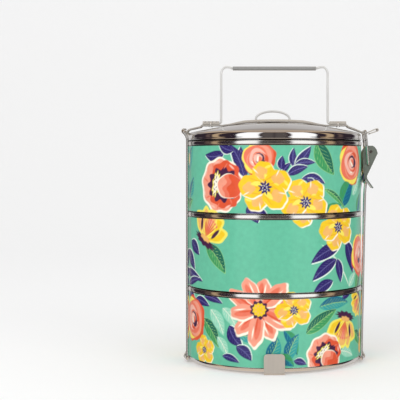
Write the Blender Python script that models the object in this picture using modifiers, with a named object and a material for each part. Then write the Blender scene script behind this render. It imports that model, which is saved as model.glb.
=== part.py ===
"""Three-tier tiffin carrier: three stacked steel bowls and a domed lid, held by two wire loops, a base
cross and a sprung top strap that a lever latch draws down. Sizes are in millimetres here, and MM turns
them to metres.

Frame: +Z up, the stack's axis on Z, the floor at z = 0, the latch on +X, the front tab on -Y.
"""

from math import asin, atan2, cos, degrees, pi, radians, sin, sqrt

import bmesh
import bpy
from mathutils import Matrix, Vector

MM = 0.001
SEGMENTS = 48  # round the bowls and the lid
GAP = 0.3  # between pieces that touch

# Bowls
TIER_RADIUS = 69.7  # outside of the printed wall
RIM_PROUD = 0.5  # the bare rim band stands out by this
RIM_HEIGHT = 3.4
WALL = 0.8
TIER_HEIGHTS = (58.4, 58.4, 55.2)  # what shows of each, from the bottom one up
BASE_CORNER = 4.0  # outside radius of the bottom bowl's corner
FOOT_DEPTH = 5.0  # an upper bowl's foot reaches this far into the mouth below
FOOT_CORNER = 3.0
FOOT_GAP = 0.4  # all round between a foot, or the lid's plug, and the mouth
KICK_UP = 1.3  # the middle of each floor is raised
BASE_KICK_UP = 2.5  # and the bottom one clears the base's rivets
KICK_RADIUS = 52.0

# Lid
LID_SIDE = 1.7
LID_SHOULDER = 5.5
LID_RISE = 14.7  # from its seat to the top of the dome
LID_PLUG = 5.1

# Base cross
TAB_STRAP_WIDTH = 15.6
TAB_STRAP_THICK = 1.0
TAB_HEIGHT = 15.6
TAB_BEND = 1.3
TAB_CLEAR = 0.9  # from the printed wall to a tab
SIDE_STRAP_WIDTH = 14.5
SIDE_STRAP_THICK = 0.8
BASE_RIVET_X = 4.2
BASE_RIVET_R = 1.2

# Wire loops
LOOP_WIRE = 1.15  # radius
LOOP_HALF_WIDTH = 23.3
LOOP_BAR_OUT = 0.2  # from the rim's radius out to a bottom bar's axis
LOOP_BAR_HALF = 11.0  # the bar is straight over this, then bends in to the legs
LOOP_LEG_IN = 2.0  # from the rim's radius in to a leg's axis
STRAP_BAR_OUT = 2.0  # from the rim's radius out to the left loop's top bar
STRAP_BAR_UP = 8.3  # from the top rim up to the same bar

# Top strap
STRAP_WIDTH = 14.5
STRAP_THICK = 0.9
STRAP_CROWN = 1.5  # its middle stands above its edges
STRAP_FADE = 18.0  # the crown dies away over this length, down to each ledge
STRAP_OVER_LID = 0.7  # under its edges, at the middle
STRAP_FLATTER = 1.15  # its long curve's radius over the dome's
VALLEY_OUT = 2.3  # from the rim's radius out to where the link bar rests
VALLEY_UP = 6.5  # from the top rim up to the sheet's middle there
LIP_LENGTH = 9.6
LIP_ANGLE = 24.0
HEM_R = 1.0  # middle radius of the rolled edge

# Carrying handle
HANDLE_INSET = 29.1  # from the left loop's top bar in to a leg
HANDLE_WIRE = 0.95
HANDLE_HEIGHT = 44.35  # pivot axis to the grip's axis
LEDGE_DROP = 0.7  # the clip's ledge is pressed below the strap's curve
CLIP_START, CLIP_END = 1.5, 14.8  # outward from a leg
CLIP_SHEET = 0.5
CLIP_HALF_WIDTH = 6.2
GRIP_INSET = 9.6  # from a leg in to the grip's end
GRIP_WIDTH = 5.6
GRIP_THICK = 3.0
CLIP_RIVET_Y = 4.25
CLIP_RIVET_R = 0.8

# The lid's own wire loop
LID_LOOP_X = -1.4
LID_LOOP_Y = 11.5
LID_LOOP_WIRE = 0.9
LID_LOOP_HALF_WIDTH = 13.75
LID_LOOP_HEIGHT = 9.0
LID_CLIP_LENGTH = 12.0
LID_CLIP_HALF_WIDTH = 3.7

# Latch
PIVOT_OUT = 4.4 + 2 * LOOP_WIRE  # from the rim's radius out to the lever's pivot
PIVOT_DOWN = 8.0  # from the top rim down to it
LINK_FOOT = (-1.9, -10.2)  # from the pivot to the link's foot
LEVER_HALF_WIDTH = 10.0
LEVER_SHEET = 0.8
LEG_HALF_GAP = 7.2  # the right loop's legs inside the lever
LINK_WIRE = 1.0
LINK_HALF_WIDTH = 11.7
PIN_CLEAR = 0.3

# Places that follow from the sizes
RIM_RADIUS = TIER_RADIUS + RIM_PROUD
MOUTH_RADIUS = TIER_RADIUS - WALL
FOOT_RADIUS = MOUTH_RADIUS - FOOT_GAP
CROSS_Z = TAB_STRAP_THICK + 0.4 + SIDE_STRAP_THICK / 2  # where the straps cross
FLOOR_Z = TAB_STRAP_THICK + 0.4
RIM_1 = FLOOR_Z + TIER_HEIGHTS[0]
RIM_2 = RIM_1 + GAP + TIER_HEIGHTS[1]
RIM_3 = RIM_2 + GAP + TIER_HEIGHTS[2]
LID_SEAT = RIM_3 + GAP
LID_TOP = LID_SEAT + LID_RISE
SHOULDER_Z = LID_SEAT + LID_SIDE
SHOULDER_R = RIM_RADIUS - LID_SHOULDER
_h = LID_TOP - SHOULDER_Z
DOME_RADIUS = (SHOULDER_R**2 + _h**2 - LID_SHOULDER**2) / (2 * (_h - LID_SHOULDER))
BASE_CURL_R = LOOP_WIRE + GAP + SIDE_STRAP_THICK / 2
BASE_BAR = (RIM_RADIUS + LOOP_BAR_OUT, BASE_CURL_R + SIDE_STRAP_THICK / 2 + 0.15)
STRAP_BAR = (-(RIM_RADIUS + STRAP_BAR_OUT), RIM_3 + STRAP_BAR_UP)
STRAP_RADIUS = DOME_RADIUS * STRAP_FLATTER
STRAP_TOP = LID_TOP + STRAP_OVER_LID + STRAP_THICK + STRAP_CROWN
HANDLE_X = -STRAP_BAR[0] - HANDLE_INSET
PIVOT = (RIM_RADIUS + PIVOT_OUT, RIM_3 - PIVOT_DOWN)
FOOT = (PIVOT[0] + LINK_FOOT[0], PIVOT[1] + LINK_FOOT[1])
VALLEY = (RIM_RADIUS + VALLEY_OUT, RIM_3 + VALLEY_UP)
LINK_BAR = (VALLEY[0], VALLEY[1] + STRAP_THICK / 2 + 0.4 + LINK_WIRE)


def strap_curve(x):
    """Height of the strap's crown at x."""
    return STRAP_TOP - STRAP_RADIUS + sqrt(STRAP_RADIUS**2 - x**2)


def dome(r):
    return LID_TOP - DOME_RADIUS + sqrt(DOME_RADIUS**2 - r**2)


LEDGE_Z = strap_curve(HANDLE_X + (CLIP_START + CLIP_END) / 2) - LEDGE_DROP
HANDLE_AXIS_Z = LEDGE_Z + 0.4 + HANDLE_WIRE
LID_LOOP_Z = dome(LID_LOOP_Y) + 0.4 + LID_LOOP_WIRE


# ---------------------------------------------------------------- scene helpers
def clear_scene():
    for obj in list(bpy.data.objects):
        bpy.data.objects.remove(obj)


def collection(name):
    made = bpy.data.collections.new(name)
    bpy.context.scene.collection.children.link(made)
    return made


def material(name, colour, metallic, roughness):
    made = bpy.data.materials.new(name)
    made.use_nodes = True
    shader = made.node_tree.nodes["Principled BSDF"]
    shader.inputs["Base Color"].default_value = (*colour, 1.0)
    shader.inputs["Metallic"].default_value = metallic
    shader.inputs["Roughness"].default_value = roughness
    made.diffuse_color = (*colour, 1.0)
    return made


class Body:
    """An empty on a body's joint axis. Its pieces are its children, with their points counted from it."""

    def __init__(self, name, at=(0.0, 0.0, 0.0), parent=None):
        self.at = Vector(at)
        self.empty = bpy.data.objects.new(name + "_axis", None)
        self.empty.empty_display_size = 10 * MM
        PARTS.objects.link(self.empty)
        start = parent.at if parent else Vector((0.0, 0.0, 0.0))
        self.empty.location = (self.at - start) * MM
        if parent:
            self.empty.parent = parent.empty

    def local(self, point):
        return (Vector(point) - self.at) * MM

    def add(self, name, data, mat, place=None):
        made = bpy.data.objects.new(name, data)
        data.materials.append(mat)
        PARTS.objects.link(made)
        made.parent = self.empty
        if place is not None:
            made.location = self.local(place)
        return made


def mesh_from(name, points, edges, faces):
    mesh = bpy.data.meshes.new(name)
    bm = bmesh.new()
    verts = [bm.verts.new(p) for p in points]
    for a, b in edges:
        bm.edges.new((verts[a], verts[b]))
    for face in faces:
        bm.faces.new([verts[i] for i in face])
    bm.to_mesh(mesh)
    bm.free()
    return mesh


def screw(obj, steps):
    turn = obj.modifiers.new("turned", "SCREW")
    turn.steps = turn.render_steps = steps
    turn.use_merge_vertices = True
    turn.merge_threshold = 0.00005
    turn.use_smooth_shade = True


def turned(body, name, profile, mat, steps=SEGMENTS, at=(0.0, 0.0)):
    """A piece turned about the vertical through at. The profile is (radius, height)."""
    points = [((r * MM), 0.0, z * MM) for r, z in profile]
    mesh = mesh_from(name, points, [(i, i + 1) for i in range(len(points) - 1)], [])
    made = body.add(name, mesh, mat, (at[0], at[1], 0.0))
    screw(made, steps)
    return made


def wire(body, name, points, radius, mat, cyclic=False):
    curve = bpy.data.curves.new(name, "CURVE")
    curve.dimensions = "3D"
    curve.bevel_depth = radius * MM
    curve.bevel_resolution = 2
    curve.use_fill_caps = True
    line = curve.splines.new("POLY")
    line.points.add(len(points) - 1)
    for knot, point in zip(line.points, points):
        knot.co = (*body.local(point), 1.0)
    line.use_cyclic_u = cyclic
    return body.add(name, curve, mat)


def sheet(body, name, rows, thickness, mat):
    """A bent sheet: rows of points on its middle surface, thickened to both sides."""
    across = len(rows[0])
    points = [body.local(p) for row in rows for p in row]
    faces = [
        (i * across + j, i * across + j + 1, (i + 1) * across + j + 1, (i + 1) * across + j)
        for i in range(len(rows) - 1)
        for j in range(across - 1)
    ]
    made = body.add(name, mesh_from(name, points, [], faces), mat)
    thick = made.modifiers.new("sheet", "SOLIDIFY")
    thick.thickness = thickness * MM
    thick.offset = 0.0
    thick.use_even_offset = True
    made.data.shade_smooth()
    made.data.set_sharp_from_angle(angle=radians(35))
    return made


def extruded(name, outlines, half_depth, axis="Y"):
    """A flat outline with any holes, extruded both ways along axis. Y takes (x, z) points and X takes (y, z)."""
    curve = bpy.data.curves.new(name, "CURVE")
    curve.dimensions = "2D"
    curve.fill_mode = "BOTH"
    curve.extrude = half_depth * MM
    for outline in outlines:
        line = curve.splines.new("POLY")
        line.points.add(len(outline) - 1)
        for knot, (u, v) in zip(line.points, outline):
            knot.co = (u * MM, v * MM, 0.0, 1.0)
        line.use_cyclic_u = True
    made = bpy.data.objects.new(name + "_outline", curve)
    turn = Matrix.Rotation(pi / 2, 4, "X")
    if axis == "X":
        turn = Matrix.Rotation(pi / 2, 4, "Z") @ turn
    made.matrix_world = turn
    bpy.context.scene.collection.objects.link(made)
    bpy.context.view_layer.update()
    graph = bpy.context.evaluated_depsgraph_get()
    mesh = bpy.data.meshes.new_from_object(made.evaluated_get(graph))
    mesh.name = name
    bpy.data.objects.remove(made)
    mesh.transform(turn)
    bm = bmesh.new()
    bm.from_mesh(mesh)
    bmesh.ops.remove_doubles(bm, verts=bm.verts, dist=0.00001)
    bmesh.ops.recalc_face_normals(bm, faces=bm.faces)
    bm.to_mesh(mesh)
    bm.free()
    mesh.materials.clear()
    return mesh


def cutter(name, mesh, body):
    made = bpy.data.objects.new(name, mesh)
    CUTTERS.objects.link(made)
    made.parent = body.empty
    made.location = -body.at * MM
    made.hide_render = True
    made.display_type = "WIRE"
    return made


def turned_cutter(name, profile, body, at, steps=24):
    points = [(r * MM, 0.0, z * MM) for r, z in profile]
    mesh = mesh_from(name, points, [(i, i + 1) for i in range(len(points) - 1)], [])
    made = cutter(name, mesh, body)
    made.location = body.local((*at, 0.0))
    screw(made, steps)
    return made


def pin_cutter(name, body, x, z, radius, half_length):
    """A round bar along Y, for a hole through both cheeks."""
    mesh = bpy.data.meshes.new(name)
    bm = bmesh.new()
    bmesh.ops.create_cone(
        bm,
        cap_ends=True,
        segments=20,
        radius1=radius * MM,
        radius2=radius * MM,
        depth=2 * half_length * MM,
        matrix=Matrix.Translation((x * MM, 0.0, z * MM)) @ Matrix.Rotation(pi / 2, 4, "X"),
    )
    bm.to_mesh(mesh)
    bm.free()
    return cutter(name, mesh, body)


def cut(target, *tools):
    for tool in tools:
        made = target.modifiers.new("cut_" + tool.name, "BOOLEAN")
        made.operation = "DIFFERENCE"
        made.solver = "EXACT"
        made.object = tool


# ---------------------------------------------------------------- shape helpers
def arc(centre, radius, start, end, count):
    """Points on a circle, with angles in degrees."""
    turns = [radians(start + (end - start) * i / count) for i in range(count + 1)]
    return [(centre[0] + radius * cos(a), centre[1] + radius * sin(a)) for a in turns]


def rounded(points, radius, count=5, cyclic=False):
    """The polyline with each inner corner replaced by a smooth bend."""
    points = [Vector(p) for p in points]
    total = len(points)
    corners = range(total) if cyclic else range(1, total - 1)
    out = [] if cyclic else [points[0]]
    for i in corners:
        before, here, after = points[i - 1], points[i], points[(i + 1) % total]
        reach = min(radius, (before - here).length * 0.48, (after - here).length * 0.48)
        a = here + (before - here).normalized() * reach
        b = here + (after - here).normalized() * reach
        for k in range(count + 1):
            t = k / count
            out.append(a * (1 - t) ** 2 + here * 2 * t * (1 - t) + b * t**2)
    return out if cyclic else [*out, points[-1]]


def mirrored(points):
    """A half wire route from its +Y end to the middle, followed by its mirror image."""
    return points + [(x, -y, z) for x, y, z in reversed(points)]


def swept(path, section):
    """Rows for a sheet along a path of (x, z, crown, half width). The section is a list of (share of the
    half width, share of the crown), and the crown is measured along the path's normal."""
    rows = []
    for i, (x, z, crown, half) in enumerate(path):
        ahead, behind = path[min(i + 1, len(path) - 1)], path[max(i - 1, 0)]
        along = Vector((ahead[0] - behind[0], ahead[1] - behind[1])).normalized()
        normal = Vector((-along.y, along.x))
        row = []
        for share, drop in section:
            row.append((x + normal.x * crown * drop, half * share, z + normal.y * crown * drop))
        rows.append(row)
    return rows


# ---------------------------------------------------------------- bowls and lid
def bowl_profile(bottom, top, kick_up, seat=None):
    """A bowl's section from the middle of its inside floor, up and over the rim, to the middle underneath.
    An upper bowl has a narrower foot below its seat."""
    corner = FOOT_CORNER if seat else BASE_CORNER
    outer = FOOT_RADIUS if seat else TIER_RADIUS
    inside = [
        (0.0, bottom + kick_up + WALL),
        (KICK_RADIUS - 3.0, bottom + kick_up + WALL),
        (KICK_RADIUS + 1.0, bottom + WALL),
    ]
    inside += arc((outer - corner, bottom + corner), corner - WALL, -90, 0, 4)
    if seat:
        inside += [(outer - WALL, seat + 0.2), (MOUTH_RADIUS, seat + 1.2)]
    inside += [(MOUTH_RADIUS, top - 0.4), (MOUTH_RADIUS + 0.4, top)]
    outside = [
        (RIM_RADIUS - 0.4, top),
        (RIM_RADIUS, top - 0.4),
        (RIM_RADIUS, top - RIM_HEIGHT + 0.4),
        (TIER_RADIUS, top - RIM_HEIGHT),
    ]
    if seat:
        outside += [(TIER_RADIUS, seat + 0.4), (TIER_RADIUS - 0.4, seat), (outer, seat)]
    outside += arc((outer - corner, bottom + corner), corner, 0, -90, 4)
    outside += [
        (KICK_RADIUS + 1.0, bottom),
        (KICK_RADIUS - 3.0, bottom + kick_up),
        (0.0, bottom + kick_up),
    ]
    return inside + outside


def lid_profile():
    """The lid's section from the top of the dome, down its side and plug, and back under the dome."""
    lean = degrees(atan2(SHOULDER_Z - LID_TOP + DOME_RADIUS, SHOULDER_R))
    edge = SHOULDER_R + LID_SHOULDER * cos(radians(lean))
    under = SHOULDER_R + (LID_SHOULDER - WALL) * cos(radians(lean))
    out = [(edge * i / 7, dome(edge * i / 7)) for i in range(7)]
    out += arc((SHOULDER_R, SHOULDER_Z), LID_SHOULDER, lean, 0, 4)
    out += [
        (RIM_RADIUS, LID_SEAT + 0.3),
        (RIM_RADIUS - 0.3, LID_SEAT),
        (FOOT_RADIUS, LID_SEAT),
        (FOOT_RADIUS, LID_SEAT - LID_PLUG + 0.3),
        (FOOT_RADIUS - 0.3, LID_SEAT - LID_PLUG),
        (FOOT_RADIUS - WALL, LID_SEAT - LID_PLUG),
        (FOOT_RADIUS - WALL, LID_SEAT + 0.5),
    ]
    out += arc((SHOULDER_R, SHOULDER_Z), LID_SHOULDER - WALL, 0, lean, 3)
    out += [(under * i / 5, dome(under * i / 5) - WALL) for i in range(4, -1, -1)]
    return out


# ---------------------------------------------------------------- base
def base_cross(body):
    half = SIDE_STRAP_WIDTH / 2
    bar_x = BASE_BAR[0]
    low = BASE_BAR[1] - BASE_CURL_R
    step = TAB_STRAP_WIDTH / 2 + 1.0
    side = [(0.0, CROSS_Z), (step, CROSS_Z), (step + 3.5, low), (bar_x - 3.0, low)]
    side += arc(BASE_BAR, BASE_CURL_R, 270, 455, 11)
    whole = [(-x, z) for x, z in reversed(side[1:])] + side
    path = [(x, z, 0.0, half) for x, z in whole]
    rows = swept(path, [(-1, 0), (0, 0), (1, 0)])
    strap = sheet(body, "base_strap_side_to_side", rows, SIDE_STRAP_THICK, STEEL)

    half = TAB_STRAP_WIDTH / 2
    tab_y = TIER_RADIUS + TAB_CLEAR + TAB_STRAP_THICK / 2
    low = TAB_STRAP_THICK / 2
    bend = arc((tab_y - TAB_BEND, low + TAB_BEND), TAB_BEND, -90, 0, 5)
    up = [(0.0, low, half), (20.0, low, half), *[(y, z, half) for y, z in bend]]
    corner = 2.6
    up.append((tab_y, TAB_HEIGHT - corner, half))
    for k in range(1, 5):
        a = radians(90 * k / 4)
        up.append((tab_y, TAB_HEIGHT - corner * (1 - sin(a)), half - corner * (1 - cos(a))))
    whole = [(-y, z, w) for y, z, w in reversed(up[1:])] + up
    rows = [[(w * s, y, z) for s in (-1, 0, 1)] for y, z, w in whole]
    tabs = sheet(body, "base_strap_front_to_back", rows, TAB_STRAP_THICK, SATIN)

    top = CROSS_Z + SIDE_STRAP_THICK / 2 + GAP
    r, flare = BASE_RIVET_R, 1.0
    rivet = [(0.0, top + 1.0), (r + 0.2, top + 0.8), (2 * r, top + 0.3), (2 * r, top), (r, top)]
    rivet += [(r, low * 2 + 0.1), (r + flare, 0.1), (0.0, 0.1)]
    hole = [(0.0, top + 2), (r + GAP, top + 2), (r + GAP, low * 2 + 0.05), (r + flare + 0.4, -0.05)]
    hole += [(r + flare + 0.4, -0.6), (0.0, -0.6)]
    for side_name, x in (("left", -BASE_RIVET_X), ("right", BASE_RIVET_X)):
        turned(body, "base_rivet_" + side_name, rivet, STEEL, 20, (x, 0.0))
        tool = turned_cutter("base_rivet_hole_" + side_name, hole, body, (x, 0.0))
        cut(strap, tool)
        cut(tabs, tool)


# ---------------------------------------------------------------- loops
def left_loop_route():
    leg_x = RIM_RADIUS - LOOP_LEG_IN
    y = LOOP_HALF_WIDTH
    bar_x, bar_z = BASE_BAR
    top_x, top_z = -STRAP_BAR[0], STRAP_BAR[1]
    half = [
        (-bar_x, 0.0, bar_z),
        (-bar_x, LOOP_BAR_HALF, bar_z),
        (-leg_x, y, bar_z + 0.3),
        (-leg_x, y, top_z - 5.0),
        (-top_x, y - 0.8, top_z),
        (-top_x, 0.0, top_z),
    ]
    whole = half + [(x, -yy, z) for x, yy, z in reversed(half[1:-1])]
    return rounded(whole[1:] + whole[:1], 4.0, 5, cyclic=True)


def right_loop_route():
    y = LOOP_HALF_WIDTH
    bar_x, bar_z = BASE_BAR
    px, pz = PIVOT
    inner_x = RIM_RADIUS + 1.3
    half = [
        (px, LEVER_HALF_WIDTH + 0.3, pz),
        (px, LEG_HALF_GAP, pz),
        (inner_x + 0.35, LEG_HALF_GAP, pz - 18.5),
        (inner_x, LEG_HALF_GAP, pz - 24.2),
        (inner_x + 0.1, y, pz - 24.8),
        (RIM_RADIUS + 0.6, y, pz - 32.0),
        (RIM_RADIUS - LOOP_LEG_IN, y, bar_z + 14.0),
        (RIM_RADIUS - LOOP_LEG_IN, y, bar_z + 0.3),
        (bar_x, LOOP_BAR_HALF, bar_z),
    ]
    return rounded(mirrored(half), 3.2, 5)


# ---------------------------------------------------------------- top strap and handle
def top_strap(body):
    half = STRAP_WIDTH / 2
    t = STRAP_THICK / 2
    curl_r = LOOP_WIRE + GAP + t
    bx, bz = STRAP_BAR
    ledge_in, ledge_out = HANDLE_X - 1.5, HANDLE_X + CLIP_END + 0.4
    ledge = LEDGE_Z - t

    def crown_row(x, crown):
        return (x, strap_curve(x) - t, crown, half)

    side = [crown_row((ledge_in - STRAP_FADE) * i / 6, STRAP_CROWN) for i in range(7)]
    for k in (1, 2):
        share = (k / 3) ** 1.5
        x = ledge_in - STRAP_FADE * (1 - k / 3)
        side.append((x, (strap_curve(x) - t) * (1 - share) + ledge * share, STRAP_CROWN * (1 - share), half))
    side += [(ledge_in, ledge, 0.0, half), (HANDLE_X + 4.0, ledge, 0.0, half)]
    side += [(ledge_out - 3.0, ledge, 0.0, half), (ledge_out, ledge, 0.0, half)]
    side.append((ledge_out + 1.2, strap_curve(ledge_out + 1.2) - t, 0.6, half))
    middle = [(-x, z, c, w) for x, z, c, w in reversed(side[1:])] + side

    curl = arc(STRAP_BAR, curl_r, -295, -25, 14)
    lead = [(bx + 8.2, bz + 2.85, 0.5, half), (bx + 4.7, bz + 1.9, 0.3, half)]
    lead += [(bx + 3.7, bz + 1.4, 0.1, half), (bx + 2.9, bz + 0.7, 0.0, half)]
    lead.append((bx + 2.25, bz - 0.1, 0.0, half))
    left = [(x, z, 0.0, half) for x, z in curl] + list(reversed(lead))

    vx, vz = VALLEY
    d = Vector((cos(radians(LIP_ANGLE)), sin(radians(LIP_ANGLE))))
    n = Vector((-d.y, d.x))
    start = Vector((vx + 2.0, vz + 0.5))
    hem = start + d * (LIP_LENGTH - 1.6) - n * HEM_R
    right = [(vx - 8.5, vz + 4.1, 0.6), (vx - 4.0, vz + 2.1, 0.3), (vx - 2.2, vz + 1.05, 0.0)]
    right += [(vx - 1.1, vz + 0.3, 0.0), (vx, vz, 0.0), (vx + 1.0, vz + 0.1, 0.0), (start.x, start.y, 0.0)]
    tip = [(hem + n * HEM_R * cos(a) + d * HEM_R * sin(a)) for a in (pi * k / 6 for k in range(7))]
    right += [(p.x, p.y, 0.0) for p in tip]
    back = tip[-1] - d * 6.4 + n * 0.6
    right.append((back.x, back.y, 0.0))
    right = [(x, z, c, half) for x, z, c in right]

    path = left + middle + right
    section = [(-1, -1), (-0.6, -0.36), (0, 0), (0.6, -0.36), (1, -1)]
    strap = sheet(body, "top_strap", swept(path, section), STRAP_THICK, SATIN)

    for side_name, sign in (("left", -1), ("right", 1)):
        middle_x = sign * (HANDLE_X + (CLIP_START + CLIP_END) / 2)
        clip = saddle(
            body,
            "handle_clip_" + side_name,
            (middle_x, 0.0, HANDLE_AXIS_Z),
            (CLIP_END - CLIP_START) / 2,
            HANDLE_WIRE + GAP + CLIP_SHEET / 2,
            LEDGE_Z + GAP + CLIP_SHEET / 2,
            CLIP_HALF_WIDTH,
            SATIN,
        )
        if side_name == "left":
            slot_clip(body, clip, middle_x)
        top = LEDGE_Z + 2 * GAP + CLIP_SHEET
        low = LEDGE_Z - STRAP_THICK - GAP
        r = CLIP_RIVET_R
        rivet = [(0.0, top + 0.6), (r, top + 0.5), (1.9 * r, top + 0.15), (1.9 * r, top)]
        rivet += [(r, top), (r, low), (1.8 * r, low), (1.8 * r, low - 0.4), (0.0, low - 0.5)]
        hole = [(0.0, top + 1), (r + GAP, top + 1), (r + GAP, low - 1), (0.0, low - 1)]
        for end_name, y in (("front", -CLIP_RIVET_Y), ("back", CLIP_RIVET_Y)):
            name = "handle_clip_" + side_name + "_rivet_" + end_name
            turned(body, name, rivet, STEEL, 12, (middle_x, y))
            tool = turned_cutter(name + "_hole", hole, body, (middle_x, y), 16)
            cut(strap, tool)
            cut(clip, tool)


def saddle(body, name, axis, half_length, radius, flange_z, half_width, mat):
    """A sheet clip pressed over a wire that runs along X: a flange, an arch and a flange."""
    x, y, z = axis
    foot = degrees(asin((flange_z - z) / radius))
    section = [(-half_width, flange_z - z)]
    section += [(u, v) for u, v in reversed(arc((0.0, 0.0), radius, foot, 180 - foot, 10))]
    section.append((half_width, flange_z - z))
    rows = [[(x + s * half_length, y + u, z + v) for u, v in section] for s in (-1, 0, 1)]
    return sheet(body, name, rows, CLIP_SHEET, mat)


def slot_clip(body, clip, middle_x):
    """Notches across the arch, which leave it as a row of knuckles."""
    for k in range(4):
        x = middle_x + (k - 1.5) * 3.0
        mesh = bpy.data.meshes.new("knuckle_notch")
        bm = bmesh.new()
        size = Matrix.Diagonal((1.1 * MM, 6.0 * MM, 3.0 * MM, 1.0))
        place = Matrix.Translation((x * MM, -3.0 * MM, (HANDLE_AXIS_Z + 1.9) * MM))
        bmesh.ops.create_cube(bm, size=1.0, matrix=place @ size)
        bm.to_mesh(mesh)
        bm.free()
        cut(clip, cutter("knuckle_notch_%d" % k, mesh, body))


def handle(body):
    x, z = HANDLE_X, HANDLE_AXIS_Z
    top = z + HANDLE_HEIGHT
    half = [
        (x + CLIP_END - 1.0, 0.0, z),
        (x, 0.0, z),
        (x, 0.0, top - 2.5),
        (x - 2.4, 0.0, top + 1.1),
        (x - 6.4, 0.0, top + 1.1),
        (x - 9.0, 0.0, top),
        (0.0, 0.0, top),
    ]
    whole = half + [(-a, b, c) for a, b, c in reversed(half[:-1])]
    wire(body, "handle_wire", rounded(whole, 2.2, 5), HANDLE_WIRE, STEEL)

    w, t = GRIP_WIDTH / 2, GRIP_THICK / 2
    ends = arc((w - t, 0.0), t, -90, 90, 8) + arc((-(w - t), 0.0), t, 90, 270, 8)
    bore = arc((0.0, 0.0), HANDLE_WIRE + 0.25, 0, 330, 11)
    outline = [[(u, v + top) for u, v in ends], [(u, v + top) for u, v in bore]]
    mesh = extruded("handle_grip", outline, x - GRIP_INSET, axis="X")
    mesh.transform(Matrix.Translation(-body.at * MM))
    mesh.shade_smooth()
    mesh.set_sharp_from_angle(angle=radians(35))
    body.add("handle_grip", mesh, SATIN)


# ---------------------------------------------------------------- latch
def latch_lever(body):
    px, pz = PIVOT
    w, t = LEVER_HALF_WIDTH, LEVER_SHEET

    def at(*points):
        return [(px + u, pz + v) for u, v in points]

    outline = at((-6.2, -2.5), (-5.9, 0.5), (-4.3, 2.9), (-2.0, 4.6), (1.7, 4.6), (3.4, 3.4), (4.7, 1.4))
    outline += at((5.6, -1.4), (-3.0, -19.6), (-2.85, -21.4), (-2.3, -22.6), (2.2, -29.0), (1.5, -29.5))
    outline += at((-3.1, -23.3), (-3.7, -21.9), (-4.4, -21.4), (-5.2, -20.6), (-6.0, -16.0))
    hollow = at((4.7, -1.1), (-3.8, -19.4), (-3.6, -21.6), (-3.2, -22.9), (-9.0, -23.6), (-9.0, 8.0))
    hollow += at((9.0, 8.0), (9.0, -1.1))
    mesh = extruded("latch_lever", [outline], w)
    mesh.transform(Matrix.Translation(-body.at * MM))
    lever = body.add("latch_lever", mesh, STEEL)
    channel = cutter("lever_channel", extruded("lever_channel", [hollow], w - t), body)
    pivot_hole = pin_cutter("lever_pivot_hole", body, px, pz, LOOP_WIRE + PIN_CLEAR, w + 2)
    link_hole = pin_cutter("lever_link_hole", body, *FOOT, LINK_WIRE + PIN_CLEAR, w + 2)
    cut(lever, channel, pivot_hole, link_hole)


def latch_link(body):
    fx, fz = FOOT
    bx, bz = LINK_BAR
    y = LINK_HALF_WIDTH
    half = [(fx, LEVER_HALF_WIDTH - LEVER_SHEET - 0.5, fz), (fx, y, fz), (bx, y, bz)]
    wire(body, "latch_link", rounded(mirrored(half), 2.2, 5), LINK_WIRE, STEEL)


def lid_loop(lid, body):
    x, y, z = LID_LOOP_X, LID_LOOP_Y, LID_LOOP_Z
    w = LID_LOOP_HALF_WIDTH
    low = dome(LID_LOOP_Y) + 0.45 + CLIP_SHEET / 2
    radius = LID_LOOP_WIRE + GAP + CLIP_SHEET / 2
    saddle(lid, "lid_loop_clip", (x, y, z), LID_CLIP_LENGTH / 2, radius, low, LID_CLIP_HALF_WIDTH, STEEL)
    shoulder = 2.8
    crest = arc((0.0, 0.0), 1.0, 0, 180, 14)
    ring = [(x + w * u, y, z + shoulder + (LID_LOOP_HEIGHT - shoulder) * v) for u, v in crest]
    ring += [(x - w + 0.35, y, z + 0.9), (x - w + 1.6, y, z), (x, y, z)]
    ring += [(x + w - 1.6, y, z), (x + w - 0.35, y, z + 0.9)]
    wire(body, "lid_loop", ring, LID_LOOP_WIRE, STEEL, cyclic=True)


clear_scene()
PARTS = collection("tiffin_carrier")
CUTTERS = collection("cutters")
STEEL = material("polished_steel", (0.78, 0.77, 0.75), 1.0, 0.22)
SATIN = material("satin_steel", (0.62, 0.58, 0.53), 1.0, 0.38)
MIRROR = material("mirror_steel", (0.86, 0.86, 0.86), 1.0, 0.06)
ENAMEL = material("printed_enamel", (0.42, 0.77, 0.64), 0.0, 0.3)

base = Body("base")
base_cross(base)

tier_1 = Body("tier_1", (0.0, 0.0, FLOOR_Z), base)
tier_2 = Body("tier_2", (0.0, 0.0, RIM_1 + GAP), tier_1)
tier_3 = Body("tier_3", (0.0, 0.0, RIM_2 + GAP), tier_2)
lid = Body("lid", (0.0, 0.0, LID_SEAT), tier_3)
turned(tier_1, "tier_1_bowl", bowl_profile(FLOOR_Z, RIM_1, BASE_KICK_UP), ENAMEL)
nested_2 = bowl_profile(RIM_1 + GAP - FOOT_DEPTH, RIM_2, KICK_UP, RIM_1 + GAP)
nested_3 = bowl_profile(RIM_2 + GAP - FOOT_DEPTH, RIM_3, KICK_UP, RIM_2 + GAP)
turned(tier_2, "tier_2_bowl", nested_2, ENAMEL)
turned(tier_3, "tier_3_bowl", nested_3, ENAMEL)
turned(lid, "lid_shell", lid_profile(), MIRROR)
loop_of_lid = Body("lid_loop", (LID_LOOP_X, LID_LOOP_Y, LID_LOOP_Z), lid)
lid_loop(lid, loop_of_lid)

left_loop = Body("left_loop", (-BASE_BAR[0], 0.0, BASE_BAR[1]), base)
wire(left_loop, "left_loop_wire", left_loop_route(), LOOP_WIRE, STEEL, cyclic=True)
strap_body = Body("strap", (STRAP_BAR[0], 0.0, STRAP_BAR[1]), left_loop)
top_strap(strap_body)
handle_body = Body("handle", (0.0, 0.0, HANDLE_AXIS_Z), strap_body)
handle(handle_body)

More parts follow.
